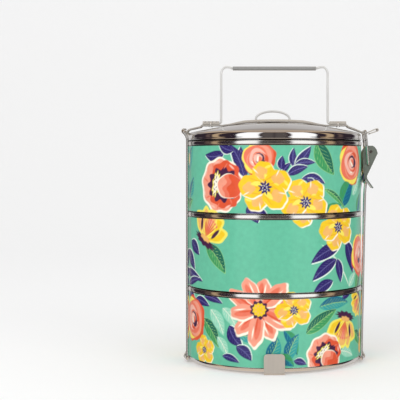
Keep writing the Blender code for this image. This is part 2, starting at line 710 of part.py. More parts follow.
right_loop = Body("right_loop", (BASE_BAR[0], 0.0, BASE_BAR[1]), base)
wire(right_loop, "right_loop_wire", right_loop_route(), LOOP_WIRE, STEEL)
lever_body = Body("lever", (PIVOT[0], 0.0, PIVOT[1]), right_loop)
latch_lever(lever_body)
link_body = Body("link", (FOOT[0], 0.0, FOOT[1]), lever_body)
latch_link(link_body)
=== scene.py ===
# %% [markdown]
# # A three-tier tiffin carrier
# Three steel bowls stand on each other under a mirror-bright lid. Two wire loops, a strap over the
# lid and a lever latch hold them together, and a thin wire handle carries them. The moving solids
# come ready made in the frame. This lesson gives them their finishes, and it models afresh the
# pieces whose roundness matters most: the bowls, the lid, the bent wires and the printed flowers.

# %% Load the frame
from math import atan2, cos, pi, radians, sin, sqrt

import bpy
import numpy as np
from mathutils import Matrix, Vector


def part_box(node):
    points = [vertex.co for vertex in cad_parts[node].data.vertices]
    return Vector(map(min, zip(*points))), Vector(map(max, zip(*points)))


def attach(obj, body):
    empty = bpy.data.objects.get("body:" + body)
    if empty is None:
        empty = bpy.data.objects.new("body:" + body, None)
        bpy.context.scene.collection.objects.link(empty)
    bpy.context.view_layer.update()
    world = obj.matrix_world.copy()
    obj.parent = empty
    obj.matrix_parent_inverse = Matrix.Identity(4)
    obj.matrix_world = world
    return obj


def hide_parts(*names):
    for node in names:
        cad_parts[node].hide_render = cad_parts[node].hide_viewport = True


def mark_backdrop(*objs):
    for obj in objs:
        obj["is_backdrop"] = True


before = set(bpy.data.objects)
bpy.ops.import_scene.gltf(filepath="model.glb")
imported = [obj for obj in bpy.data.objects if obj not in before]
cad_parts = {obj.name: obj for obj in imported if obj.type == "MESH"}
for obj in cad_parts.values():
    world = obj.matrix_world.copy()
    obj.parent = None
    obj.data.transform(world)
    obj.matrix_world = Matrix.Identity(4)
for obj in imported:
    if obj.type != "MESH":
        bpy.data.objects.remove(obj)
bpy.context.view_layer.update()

# %% [markdown]
# Every size comes from the frame, so nothing has to be fitted later. The lid's box gives the radius
# of the rims and the height of the seat, and each bowl's box gives the height of its rim. Sizes are
# kept in millimetres here, as a metalworker would say them, and MM turns them to metres when a mesh
# is made.

# %% Sizes that the pieces share
MM = 0.001


def box_mm(node):
    low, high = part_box(node)
    return [c / MM for c in low], [c / MM for c in high]


SHEET, GAP = 0.8, 0.3  # the bowls' thickness, and the play between stacked pieces
RIM_R = box_mm("tier_1_bowl")[1][0]
WALL_R = RIM_R - 0.5
MOUTH_R = WALL_R - SHEET
RIM_TOPS = [box_mm(f"tier_{k}_bowl")[1][2] for k in (1, 2, 3)]
FLOORS = [box_mm(f"tier_{k}_bowl")[0][2] for k in (1, 2, 3)]
LID_TOP = box_mm("lid_shell")[1][2]
SEAT = RIM_TOPS[2] + GAP
RIM_HEIGHT = 3.4
print("rim radius", round(RIM_R, 2), "rims at", [round(z, 1) for z in RIM_TOPS], "lid top", round(LID_TOP, 1))

# %% [markdown]
# ## The studio
# The carrier stands in front of a level camera on a seamless pale sweep. A sweep is one sheet that
# is floor in front and wall behind, with a wide bend between, so no horizon line shows. It is made
# like a real one: a plane, whose far edge is extruded back and up along the bend.

# %% Camera
bpy.context.scene.view_settings.view_transform = "Standard"
bpy.ops.object.camera_add(location=(0.0, -0.823, 0.156), rotation=(radians(90), 0.0, 0.0))
camera = bpy.context.object
camera.data.lens = 91.7
camera.data.shift_x = -0.186
camera.data.shift_y = -0.09
bpy.context.scene.camera = camera
print("camera at", tuple(round(c, 3) for c in camera.location))

# %% Node helpers


def add_node(tree, kind, inputs=None, **settings):
    """A node with its settings, and each named input set to a value or linked to a socket."""
    made = tree.nodes.new(kind)
    for key, value in settings.items():
        setattr(made, key, value)
    for key, value in (inputs or {}).items():
        if isinstance(value, bpy.types.NodeSocket):
            tree.links.new(value, made.inputs[key])
        else:
            made.inputs[key].default_value = value
    return made


def linear(r, g, b):
    """A colour given in the usual 0 to 255 screen values, as the linear light that shaders use."""
    return tuple((c / 255 / 12.92) if c < 10.3 else ((c / 255 + 0.055) / 1.055) ** 2.4 for c in (r, g, b))


def new_material(name):
    made = bpy.data.materials.new(name)
    made.use_nodes = True
    return made, made.node_tree, made.node_tree.nodes["Principled BSDF"]


def deselect():
    if bpy.context.object and bpy.context.object.mode != "OBJECT":
        bpy.ops.object.mode_set(mode="OBJECT")
    bpy.ops.object.select_all(action="DESELECT")


# %% Sweep


def pale_sweep():
    deselect()
    bpy.ops.mesh.primitive_plane_add(size=2.0, location=(0.0, -0.2, 0.0))
    sweep = bpy.context.object
    sweep.name = "sweep"
    sweep.scale = (2.2, 1.2, 1.0)
    bpy.ops.object.transform_apply(location=True, rotation=False, scale=True)
    bpy.ops.object.mode_set(mode="EDIT")
    bpy.ops.mesh.select_all(action="DESELECT")
    bpy.ops.object.mode_set(mode="OBJECT")
    for edge in sweep.data.edges:
        ends = [sweep.data.vertices[i].co.y for i in edge.vertices]
        edge.select = min(ends) > 0.9
    bpy.ops.object.mode_set(mode="EDIT")
    bend, steps = 0.7, 12
    for k in range(steps):
        a, b = (pi / 2) * k / steps, (pi / 2) * (k + 1) / steps
        move = (0.0, bend * (sin(b) - sin(a)), bend * (cos(a) - cos(b)))
        bpy.ops.mesh.extrude_region_move(TRANSFORM_OT_translate={"value": move})
    bpy.ops.mesh.extrude_region_move(TRANSFORM_OT_translate={"value": (0.0, 0.0, 1.6)})
    deselect()
    sweep.select_set(True)
    bpy.ops.object.shade_smooth()
    mat, tree, shader = new_material("pale_paper")
    shader.inputs["Base Color"].default_value = (0.86, 0.86, 0.86, 1.0)
    shader.inputs["Roughness"].default_value = 0.9
    shader.inputs["Specular IOR Level"].default_value = 0.0
    shader.inputs["Emission Color"].default_value = (1.0, 1.0, 1.0, 1.0)
    shader.inputs["Emission Strength"].default_value = 0.165
    sweep.data.materials.append(mat)
    sweep.visible_glossy = False
    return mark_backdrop(sweep)


pale_sweep()
print("sweep laid")

# %% [markdown]
# Soft light from all round lights the printed colours. Polished steel is a different matter: it has
# no colour of its own and shows the room. A studio sets boards round it, so that is done here with
# one big sphere that only reflections can see. It is dark, with two white softboxes in front, tan
# strips at the sides, a warm floor, and a pale wall behind and above. The colour at each of its
# points is worked out from the direction.

# %% Soft light
world = bpy.data.worlds.new("soft_room")
bpy.context.scene.world = world
world.use_nodes = True
world.node_tree.nodes["Background"].inputs["Color"].default_value = (1.0, 1.0, 1.0, 1.0)
world.node_tree.nodes["Background"].inputs["Strength"].default_value = 0.74
world.cycles_visibility.glossy = False


def soft_lamp(name, place, aim, size, power):
    bpy.ops.object.light_add(type="AREA", location=place)
    lamp = bpy.context.object
    lamp.name = name
    lamp.data.shape = "RECTANGLE"
    lamp.data.size, lamp.data.size_y = size
    lamp.data.energy = power
    away = [p - a for p, a in zip(place, aim)]
    flat = sqrt(away[0] ** 2 + away[1] ** 2)
    lamp.rotation_euler = (atan2(flat, away[2]), 0.0, atan2(away[0], -away[1]))
    lamp.visible_glossy = False
    return lamp


soft_lamp("key", (-0.7, -1.0, 0.9), (0.0, 0.0, 0.1), (0.8, 0.8), 5.0)
soft_lamp("fill", (0.9, -0.9, 0.6), (0.0, 0.0, 0.1), (0.8, 0.8), 3.0)

# %% Boards that the steel reflects


def step(value, start, end):
    t = np.clip((value - start) / (end - start), 0.0, 1.0)
    return t * t * (3 - 2 * t)


def between(value, low, high, edge=2.0):
    return step(value, low - edge, low + edge) * (1 - step(value, high - edge, high + edge))


def reflection_room(radius=2.5):
    """Each board spans a range of turn, round from the front, and rise, up from level, in degrees."""
    deselect()
    bpy.ops.mesh.primitive_uv_sphere_add(segments=240, ring_count=120, radius=radius)
    room = bpy.context.object
    room.name = "reflection_room"
    points = np.empty(len(room.data.vertices) * 3)
    room.data.vertices.foreach_get("co", points)
    x, y, z = points.reshape(-1, 3).T
    turn = np.degrees(np.arctan2(x, -y))
    rise = np.degrees(np.arcsin(np.clip(z / radius, -1, 1)))
    side = np.abs(turn)
    colour = np.tile(np.array([0.032, 0.022, 0.030]), (len(x), 1))

    def board(mask, shade):
        colour[:] += (np.array(shade) - colour) * mask[:, None]

    board(between(side, 0, 17, 4), (0.10, 0.085, 0.08))
    board(between(side, 92, 100, 3) * between(rise, -30, 30), (0.12, 0.08, 0.07))
    board(step(rise, 58, 66), (0.50, 0.38, 0.28))
    board(step(rise, 80, 86), (0.52, 0.49, 0.48))
    board(step(side, 127, 136), (0.66, 0.64, 0.63))
    board(step(side, 127, 136) * step(rise, 8, 24), (0.50, 0.48, 0.47))
    board(step(side, 112, 130) * step(rise, 24, 28), (0.36, 0.32, 0.29))
    board(step(side, 112, 130) * step(rise, 34, 42), (0.58, 0.45, 0.33))
    board(step(side, 112, 130) * step(rise, 62, 74), (0.34, 0.28, 0.24))
    for low, high in ((-88, -77), (71, 83)):
        board(between(turn, low, high) * between(rise, -90, 72), (0.50, 0.36, 0.22))
    for low, high in ((-50, -20), (22, 56)):
        board(between(turn, low, high) * between(rise, -26, 60), (1.2, 1.2, 1.2))
    board(1 - step(rise, -46, -34), (0.72, 0.61, 0.50))
    rgba = np.concatenate([colour, np.ones((len(x), 1))], axis=1)
    room.data.attributes.new("boards", "FLOAT_COLOR", "POINT").data.foreach_set("color", rgba.ravel())
    mat = bpy.data.materials.new("boards")
    mat.use_nodes = True
    tree = mat.node_tree
    tree.nodes.clear()
    shade = add_node(tree, "ShaderNodeAttribute", attribute_name="boards")
    glow = add_node(tree, "ShaderNodeEmission", {"Color": shade.outputs["Color"], "Strength": 1.0})
    add_node(tree, "ShaderNodeOutputMaterial", {"Surface": glow.outputs["Emission"]})
    mat.cycles.emission_sampling = "NONE"
    room.data.materials.append(mat)
    room.visible_camera = room.visible_diffuse = room.visible_shadow = False
    room.visible_transmission = room.visible_volume_scatter = False
    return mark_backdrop(room)


reflection_room()
print("boards set round the object")

# %% [markdown]
# ## Steel
# All the bare metal is steel, but it is finished in several ways. The lid is polished to a mirror
# on a lathe, so its faint marks run in circles. The bowls are the same but less bright. Wire is
# drawn and tumbled, which leaves it bright with small dull patches, and the handle's is plated too.
# Strap and clips are cut from brushed sheet, whose grain runs along the strip. The lever is pressed
# and the grip is folded; the lever's green-grey tint is a painted reflection of the mint bowls beside
# it. One builder makes them all: a noise stretched along the grain moves the roughness and the
# colour a little and raises a bump, and a broad noise adds the smudges that handling leaves. Where a
# piece carries seam_shade values, the colour goes almost to black: painted shade in its grooves and
# joints.

# %% Steel finishes
BUMP_DEPTH = 0.05 * MM


def spread(tree, noise, low, high, new_low, new_high):
    """A noise's values from low to high, stretched over the range from new_low to new_high."""
    limits = {"From Min": low, "From Max": high, "To Min": new_low, "To Max": new_high}
    return add_node(tree, "ShaderNodeMapRange", {"Value": noise.outputs[0], **limits})


def steel(name, tint, dull, grain, bump, smudge=0.06, spun=False, metal=1.0):
    mat, tree, shader = new_material(name)
    here = add_node(tree, "ShaderNodeTexCoord").outputs["Object"]
    if spun:
        # Circles round the upright axis: the grain is looked up by the distance from it and by height.
        parts = add_node(tree, "ShaderNodeSeparateXYZ", {0: here})
        flat = add_node(tree, "ShaderNodeCombineXYZ", {0: parts.outputs[0], 1: parts.outputs[1]})
        far = add_node(tree, "ShaderNodeVectorMath", {0: flat.outputs[0]}, operation="LENGTH")
        turned = add_node(tree, "ShaderNodeCombineXYZ", {0: far.outputs["Value"], 2: parts.outputs[2]})
        place = turned.outputs[0]
    else:
        place = here
    lined = add_node(tree, "ShaderNodeMapping", {"Vector": place, "Scale": grain})
    marks = add_node(tree, "ShaderNodeTexNoise", {"Vector": lined.outputs[0], "Scale": 1.0, "Detail": 4.0})
    cloud = add_node(tree, "ShaderNodeTexNoise", {"Vector": here, "Scale": 38.0, "Detail": 3.0})
    speck = add_node(tree, "ShaderNodeTexNoise", {"Vector": here, "Scale": 900.0, "Detail": 2.0})
    rough = spread(tree, cloud, 0.3, 0.75, dull, dull + smudge)
    more = add_node(
        tree,
        "ShaderNodeMath",
        {0: marks.outputs[0], 1: 0.35 * dull, 2: rough.outputs[0]},
        operation="MULTIPLY_ADD",
    )
    darker = [c * 0.86 for c in tint]
    mix = add_node(
        tree,
        "ShaderNodeMix",
        {"Factor": marks.outputs[0], "A": (*darker, 1.0), "B": (*tint, 1.0)},
        data_type="RGBA",
    )
    height = add_node(
        tree,
        "ShaderNodeMath",
        {0: speck.outputs[0], 1: 0.25, 2: marks.outputs[0]},
        operation="MULTIPLY_ADD",
    )
    raised = add_node(
        tree,
        "ShaderNodeBump",
        {"Height": height.outputs[0], "Strength": bump, "Distance": BUMP_DEPTH},
    )
    # Painted shade: a piece's seam_shade value takes the base colour almost to black, as the shadow in its
    # grooves and joints.
    seam_shade = add_node(tree, "ShaderNodeAttribute", attribute_name="seam_shade")
    seam_shaded = add_node(
        tree,
        "ShaderNodeMix",
        {"Factor": seam_shade.outputs["Fac"], "A": mix.outputs["Result"], "B": (0.012, 0.010, 0.009, 1.0)},
        data_type="RGBA",
    )
    tree.links.new(seam_shaded.outputs["Result"], shader.inputs["Base Color"])
    tree.links.new(more.outputs[0], shader.inputs["Roughness"])
    tree.links.new(raised.outputs[0], shader.inputs["Normal"])
    shader.inputs["Metallic"].default_value = metal
    return mat


MIRROR = steel("lid_mirror_steel", (0.90, 0.89, 0.89), 0.035, (700, 700, 700), 0.10, 0.05, spun=True)
SPUN = steel("bowl_spun_steel", (0.84, 0.82, 0.80), 0.09, (520, 520, 520), 0.18, 0.08, spun=True)
DRAWN = steel("drawn_wire_steel", (0.74, 0.73, 0.70), 0.12, (90, 90, 90), 0.25, 0.10)
PLATED = steel("plated_handle_wire", (0.88, 0.88, 0.86), 0.24, (90, 90, 90), 0.20, 0.10, metal=0.25)
BRUSHED = steel("brushed_strap_steel", (0.68, 0.64, 0.58), 0.34, (28, 700, 700), 0.45, 0.10, metal=0.3)
TABBED = steel("brushed_tab_steel", (0.66, 0.60, 0.53), 0.42, (700, 28, 60), 0.40, 0.10, metal=0.4)
# The lever's green-grey tint is a painted reflection of the mint bowls beside it.
LEVER_MINT_REFLECTION = steel("pressed_lever_painted_mint_reflection", (0.46, 0.52, 0.45), 0.16, (260, 260, 60), 0.30, 0.12, metal=0.7)
FOLDED = steel("folded_grip_steel", (0.42, 0.42, 0.41), 0.40, (28, 700, 700), 0.30, 0.10, metal=0.3)
print("finishes:", len(bpy.data.materials))

# %% [markdown]
# ## Turned pieces
# A bowl or a lid is pressed and spun from a disc, so every cut through its axis is the same. It is
# modelled the way it is spun: a circle is filled to make the middle of the floor, and its edge is
# then extruded ring after ring, each ring moved up and scaled to the next radius of the section.

# %% Turn a section


def spun_piece(name, section, steps=192):
    """A closed turned body. The section is (radius, height) in millimetres, from the axis and back to it."""
    deselect()
    radius, height = section[0]
    bpy.ops.mesh.primitive_circle_add(
        vertices=steps, radius=radius * MM, fill_type="TRIFAN", location=(0.0, 0.0, height * MM)
    )
    piece = bpy.context.object
    piece.name = piece.data.name = name
    bpy.ops.object.mode_set(mode="EDIT")
    bpy.ops.mesh.select_mode(type="EDGE")
    bpy.ops.mesh.select_all(action="DESELECT")
    bpy.ops.mesh.select_non_manifold()
    for new_radius, new_height in section[1:]:
        lift = (0.0, 0.0, (new_height - height) * MM)
        bpy.ops.mesh.extrude_region_move(TRANSFORM_OT_translate={"value": lift})
        grow = new_radius / radius
        bpy.ops.transform.resize(value=(grow, grow, 1.0))
        radius, height = new_radius, new_height
    bpy.ops.mesh.edge_face_add()
    bpy.ops.mesh.poke()
    bpy.ops.mesh.select_all(action="SELECT")
    bpy.ops.mesh.remove_doubles(threshold=0.000001)
    bpy.ops.mesh.normals_make_consistent(inside=False)
    bpy.ops.object.mode_set(mode="OBJECT")
    bpy.ops.object.transform_apply(location=True, rotation=False, scale=False)
    bpy.ops.object.shade_smooth_by_angle(angle=radians(40))
    return piece


def bend(centre, radius, start, end, count):
    """Points round part of a circle, from one angle to another in degrees."""
    turns = [radians(start + (end - start) * k / count) for k in range(count + 1)]
    return [(centre[0] + radius * cos(a), centre[1] + radius * sin(a)) for a in turns]


def paint_seam_shade(piece, seams):
    """Painted shade in the joints, where grooves and gaps fall into shadow. Each joint is (height,
    half-width) in millimetres, dark over that band.
    """
    heights = np.array([v.co.z for v in piece.data.vertices]) / MM
    radii = np.array([sqrt(v.co.x**2 + v.co.y**2) for v in piece.data.vertices]) / MM
    dark = np.zeros(len(heights))
    for at, half in seams:
        dark = np.maximum(dark, np.clip(1.5 - np.abs(heights - at) / half, 0.0, 1.0))
    dark *= radii > MOUTH_R
    piece.data.attributes.new("seam_shade", "FLOAT", "POINT").data.foreach_set("value", dark)


def finish_piece(piece, body, material):
    piece.data.materials.clear()
    piece.data.materials.append(material)
    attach(piece, body)


# %% [markdown]
# ## The three bowls
# Each bowl has a raised middle to its floor, a rounded corner, a straight wall and a bare rim
# rolled outwards, whose slight swelling is what makes the bright line between two tiers. The upper
# two also have a narrower foot, which nests in the mouth of the bowl below.

# %% Bowls


def bowl(number):
    low, top = FLOORS[number - 1], RIM_TOPS[number - 1]
    nested = number > 1
    corner = 3.0 if nested else 4.0
    outer = MOUTH_R - 0.4 if nested else WALL_R
    seat = RIM_TOPS[number - 2] + GAP if nested else None
    kick = low + (1.3 if nested else 2.5)
    under_rim = top - RIM_HEIGHT
    section = [(30.0, kick + SHEET), (47.5, kick + SHEET), (49.0, kick + 0.7), (50.5, kick + 0.3)]
    section += [(52.0, low + 1.0), (53.5, low + SHEET)]
    section += bend((outer - corner, low + corner), corner - SHEET, -90, 0, 10)
    if nested:
        section += [(outer - SHEET, seat + 0.1), (outer - 0.6, seat + 0.5)]
        section += [(MOUTH_R, seat + 1.1), (MOUTH_R, seat + 1.5)]
    section += [(MOUTH_R, top - 4.0), (MOUTH_R, top - 0.7), (MOUTH_R + 0.1, top - 0.3)]
    section += [(MOUTH_R + 0.35, top - 0.05), (MOUTH_R + 0.5, top), (RIM_R - 0.65, top - 0.1)]
    section += [(RIM_R - 0.3, top - 0.35), (RIM_R - 0.1, top - 0.65), (RIM_R - 0.02, top - 1.0)]
    section += [(RIM_R, top - 1.7), (RIM_R - 0.01, top - 2.4), (RIM_R - 0.05, top - 2.9)]
    section += [(RIM_R - 0.2, top - 3.2), (WALL_R + 0.02, under_rim), (WALL_R, under_rim - 0.5)]
    section += [(WALL_R, under_rim - 1.1)]
    if nested:
        section += [(WALL_R, seat + 0.5), (WALL_R - 0.1, seat + 0.15), (WALL_R - 0.4, seat)]
        section += [(outer + 0.1, seat), (outer, seat - 0.1)]
    section += bend((outer - corner, low + corner), corner, 0, -90, 12)
    section += [(53.5, low), (52.0, low + 0.2), (50.5, low + 0.9), (49.0, low + 1.25)]
    section += [(47.5, kick), (30.0, kick)]
    piece = spun_piece(f"bowl_{number}", section)
    # Painted shade at the rim's top, in the groove under the rim and at the foot's seat.
    seams = [top, under_rim - 0.2] + ([seat] if nested else [])
    paint_seam_shade(piece, [(height, 0.4) for height in seams])
    finish_piece(piece, f"tier_{number}", SPUN)
    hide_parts(f"tier_{number}_bowl")
    return piece


for tier in (1, 2, 3):
    made = bowl(tier)
    print(made.name, len(made.data.polygons), "faces")

# %% [markdown]
# ## The lid
# The lid is a shallow dome with a tight shoulder, a short upright side that ends in a small rolled
# lip, and a plug that drops into the mouth of the top bowl. Because it is a mirror, its section
# matters more than its colour: the upright side shows the softboxes, and the dome shows what is
# behind and above.

# %% Lid
SHOULDER = 5.5
SHOULDER_R = RIM_R - SHOULDER
dome_rise = LID_TOP - SEAT - 1.7
DOME_R = (SHOULDER_R**2 + dome_rise**2 - SHOULDER**2) / (2 * (dome_rise - SHOULDER))


def dome(r):
    return LID_TOP - DOME_R + sqrt(DOME_R**2 - r**2)


def lid():
    section = [(2.0, dome(2.0))] + [(r, dome(r)) for r in np.linspace(6.0, RIM_R - 3.6, 15)]
    section += bend((RIM_R - 3.75, SEAT + 3.5), 3.3, 72, 2, 10)
    section += [(RIM_R - 0.34, SEAT + 2.2), (RIM_R - 0.28, SEAT + 1.9), (RIM_R - 0.06, SEAT + 1.6)]
    section += [(RIM_R, SEAT + 1.25), (RIM_R - 0.06, SEAT + 0.8), (RIM_R - 0.4, SEAT + 0.45)]
    section += [(RIM_R - 1.0, SEAT + 0.05), (MOUTH_R + 0.1, SEAT), (MOUTH_R - 0.4, SEAT - 0.2)]
    section += [(MOUTH_R - 0.4, SEAT - 4.8), (MOUTH_R - 0.6, SEAT - 5.1), (MOUTH_R - 1.1, SEAT - 5.1)]
    section += [(MOUTH_R - 1.2, SEAT - 4.9), (MOUTH_R - 1.2, SEAT + 2.4)]
    section += bend((RIM_R - 4.6, SEAT + 3.2), 2.2, 0, 78, 6)
    section += [(r, dome(r) - SHEET) for r in np.linspace(RIM_R - 6.0, 2.0, 12)]
    piece = spun_piece("lid_spinning", section, 256)
    # Painted shade in the groove where the lid sits on the top bowl.
    paint_seam_shade(piece, [(SEAT, 0.45)])
    finish_piece(piece, "lid", MIRROR)
    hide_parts("lid_shell")
    return piece


print(lid().name, "rises", round(LID_TOP - SEAT, 1), "mm")

# %% [markdown]
# ## Bent wires
# Loops, handle, link and the lid's ring are all one length of round wire, bent over pins. A bend
# over a pin is an arc and the rest is straight, so each wire is given by its corners, and each
# corner is rounded. A path curve takes the points, its bevel gives it the wire's thickness, and it
# is then converted to a mesh.

# %% Bend a wire


def bent_wire(name, corners, radius, pin, body, replaced, finish, closed=False, fine=9):
    points = []
    total = len(corners)
    for k, here in enumerate(corners):
        here = np.array(here, float)
        if not closed and k in (0, total - 1):
            points.append(here)
            continue
        before, after = np.array(corners[k - 1], float), np.array(corners[(k + 1) % total], float)
        back, ahead = before - here, after - here
        reach = min(pin, 0.48 * np.linalg.norm(back), 0.48 * np.linalg.norm(ahead))
        a, b = here + back / np.linalg.norm(back) * reach, here + ahead / np.linalg.norm(ahead) * reach
        for t in np.linspace(0.0, 1.0, fine):
            points.append(a * (1 - t) ** 2 + here * 2 * t * (1 - t) + b * t**2)
    deselect()
    bpy.ops.curve.primitive_nurbs_path_add()
    wire = bpy.context.object
    wire.name = wire.data.name = name
    wire.data.splines.clear()
    line = wire.data.splines.new("POLY")
    line.points.add(len(points) - 1)
    for knot, point in zip(line.points, points):
        knot.co = (*[c * MM for c in point], 1.0)
    line.use_cyclic_u = closed
    wire.data.bevel_depth = radius * MM
    wire.data.bevel_resolution = 6
    wire.data.use_fill_caps = not closed
    bpy.ops.object.convert(target="MESH")
    wire = bpy.context.object
    bpy.ops.object.shade_smooth_by_angle(angle=radians(50))
    finish_piece(wire, body, finish)
    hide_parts(replaced)
    return wire


def there_and_back(half):
    """Half of a wire's corners, followed by the same mirrored over the middle plane."""
    return half + [(x, -y, z) for x, y, z in reversed(half)]


# %% [markdown]
# The left loop goes round in one piece: its bottom bar lies in the base's curl and its top bar in
# the strap's. The right loop's legs come up to the lever, step inwards and end in two short pins
# that the lever turns on.

# %% Side loops
left_low, left_high = box_mm("left_loop_wire")
right_high = box_mm("right_loop_wire")[1]
WIRE, HANDLE_WIRE, LINK_WIRE, RING_WIRE = 1.15, 0.95, 1.0, 0.9  # radii
bar_x, bar_z, bar_half = RIM_R + 0.2, left_low[2] + WIRE, 11.0
top_x, top_z = RIM_R + 2.0, left_high[2] - WIRE
leg_x, leg_y = RIM_R - 2.0, 23.3
left_half = [
    (-bar_x, bar_half, bar_z),
    (-leg_x, leg_y, bar_z + 0.3),
    (-leg_x, leg_y, top_z - 5),
    (-top_x, leg_y - 0.8, top_z),
]
bent_wire("left_loop", there_and_back(left_half), WIRE, 4.0, "left_loop", "left_loop_wire", DRAWN, True)

PIVOT = (RIM_R + 6.7, RIM_TOPS[2] - 8.0)
pin_end, neck_y = 10.3, 7.2
right_half = [
    (PIVOT[0], pin_end, PIVOT[1]),
    (PIVOT[0], neck_y, PIVOT[1]),
    (RIM_R + 1.65, neck_y, PIVOT[1] - 18.5),
    (RIM_R + 1.3, neck_y, PIVOT[1] - 24.2),
    (RIM_R + 1.4, leg_y, PIVOT[1] - 24.8),
    (RIM_R + 0.6, leg_y, PIVOT[1] - 32),
    (leg_x, leg_y, bar_z + 14),
    (leg_x, leg_y, bar_z + 0.3),
    (bar_x, bar_half, bar_z),
]
bent_wire("right_loop", there_and_back(right_half), WIRE, 3.2, "right_loop", "right_loop_wire", DRAWN)
print("loops reach up to", round(left_high[2], 1), "and", round(right_high[2], 1))

# %% [markdown]
# The handle is thin wire. Its feet are bent outwards to lie in the clips, and near the top each
# side steps in over a small shoulder, which the flat grip between them stops against. The link is a
# small closed hoop that the lever pulls, and the lid's own ring is a low arch whose foot lies in
# its clip.

# %% Handle, link and ring
foot_z = box_mm("handle_wire")[0][2] + HANDLE_WIRE
CLIP_INSET, FOOT_LENGTH, GRIP_RISE = 29.1, 13.8, 44.35
leg = -left_low[0] - WIRE - CLIP_INSET
grip_z = foot_z + GRIP_RISE
handle_half = [
    (leg + FOOT_LENGTH, 0, foot_z),
    (leg, 0, foot_z),
    (leg, 0, grip_z - 2.5),
    (leg - 2.4, 0, grip_z + 1.1),
    (leg - 6.4, 0, grip_z + 1.1),
    (leg - 9.0, 0, grip_z),
]
handle = handle_half + [(-x, y, z) for x, y, z in reversed(handle_half)]
bent_wire("carrying_handle", handle, HANDLE_WIRE, 2.2, "handle", "handle_wire", PLATED)

foot_at = (PIVOT[0] - 1.9, PIVOT[1] - 10.2)
foot_end, side_y = 8.7, 11.7
link_bar = (RIM_R + 2.3, box_mm("latch_link")[1][2] - LINK_WIRE)
link_half = [
    (foot_at[0], foot_end, foot_at[1]),
    (foot_at[0], side_y, foot_at[1]),
    (link_bar[0], side_y, link_bar[1]),
]
bent_wire("link", there_and_back(link_half), LINK_WIRE, 2.2, "link", "latch_link", DRAWN)

ring_low, ring_high = box_mm("lid_loop")
ring_x, ring_y = (ring_low[0] + ring_high[0]) / 2, (ring_low[1] + ring_high[1]) / 2
ring_z, ring_w = ring_low[2] + RING_WIRE, (ring_high[0] - ring_low[0]) / 2 - RING_WIRE
spring = ring_z + 2.8
arch_rise = ring_high[2] - RING_WIRE - spring
half_circle = bend((0, 0), 1, 0, 180, 40)
arch = [(ring_x + ring_w * u, ring_y, spring + arch_rise * v) for u, v in half_circle]
arch += [(ring_x - ring_w + 0.35, ring_y, ring_z + 0.9), (ring_x - ring_w + 1.6, ring_y, ring_z)]
arch += [(ring_x + ring_w - 1.6, ring_y, ring_z), (ring_x + ring_w - 0.35, ring_y, ring_z + 0.9)]
bent_wire("lid_ring", arch, RING_WIRE, 0.8, "lid_loop", "lid_loop", PLATED, True, 4)
print("handle stands", round(grip_z - foot_z, 1), "mm over its feet")

# %% [markdown]
# ## The printed flowers
# The bowls carry a floral print: big yellow and coral flowers with navy and green leaves on mint.
# It is a design of its own for this lesson, and no lettering is in it. The print is a thin coat of
# its own, a fine-meshed sleeve round each wall. Every point of a sleeve has a distance round the
# bowl and a height, so a flower can be painted on it by simple shape functions, layer on layer, as
# a screen printer lays inks. The colours are stored in the mesh.

# %% Inks
MINT = linear(103, 193, 160)
INKS = {
    "yellow": (249, 206, 32), "amber": (243, 178, 40), "lemon": (253, 236, 96),
    "peach": (247, 188, 106), "cream": (255, 250, 230), "foam": (226, 245, 233),
    "navy": (44, 32, 106), "slate": (110, 108, 170), "coral": (240, 120, 92), "red": (228, 86, 50),
    "blush": (248, 160, 134), "pink": (252, 190, 172), "plum": (74, 34, 72), "green": (62, 156, 96),
    "deep": (28, 108, 88), "lime": (158, 214, 130), "teal": (22, 108, 140), "sea": (50, 160, 160),
    "pale": (150, 218, 190),
}  # fmt: skip
INKS = {name: np.array(linear(*value)) for name, value in INKS.items()}


def edge(distance, width=0.45):
    """1 inside a shape and 0 outside, with a soft edge. Distances are in mm, negative inside."""
    return np.clip(0.5 - distance / width, 0.0, 1.0)


def ink(rgb, mask, name):
    rgb += (INKS[name] - rgb) * mask[:, None]


def oval(x, y, cx, cy, rx, ry, turn=0.0, waves=0, wave=0.0, phase=0.0):
    """Signed distance, roughly, to an ellipse with a wavy edge."""
    a = radians(turn)
    u = ((x - cx) * cos(a) + (y - cy) * sin(a)) / rx
    v = (-(x - cx) * sin(a) + (y - cy) * cos(a)) / ry
    r = np.hypot(u, v)
    if waves:
        r = r - wave * np.sin(waves * np.arctan2(v, u) + phase)
    return (r - 1.0) * min(rx, ry)


def dab(rgb, x, y, name, *shape):
    """One oval of ink. The shape is what oval() takes after the points."""
    ink(rgb, edge(oval(x, y, *shape)), name)


def outward(turn, far, aside=0.0):
    """The point this far out in a direction given in degrees, moved aside to its left."""
    c, d = cos(radians(turn)), sin(radians(turn))
    return c * far - d * aside, d * far + c * aside


# %% [markdown]
# Each flower is one function. It is given the points near it, with x and y counted from its middle,
# and its size. The yellow flower has five broad petals with cream rims, peach and lemon patches,
# and a ragged navy middle.

# %% Yellow flower and daisy


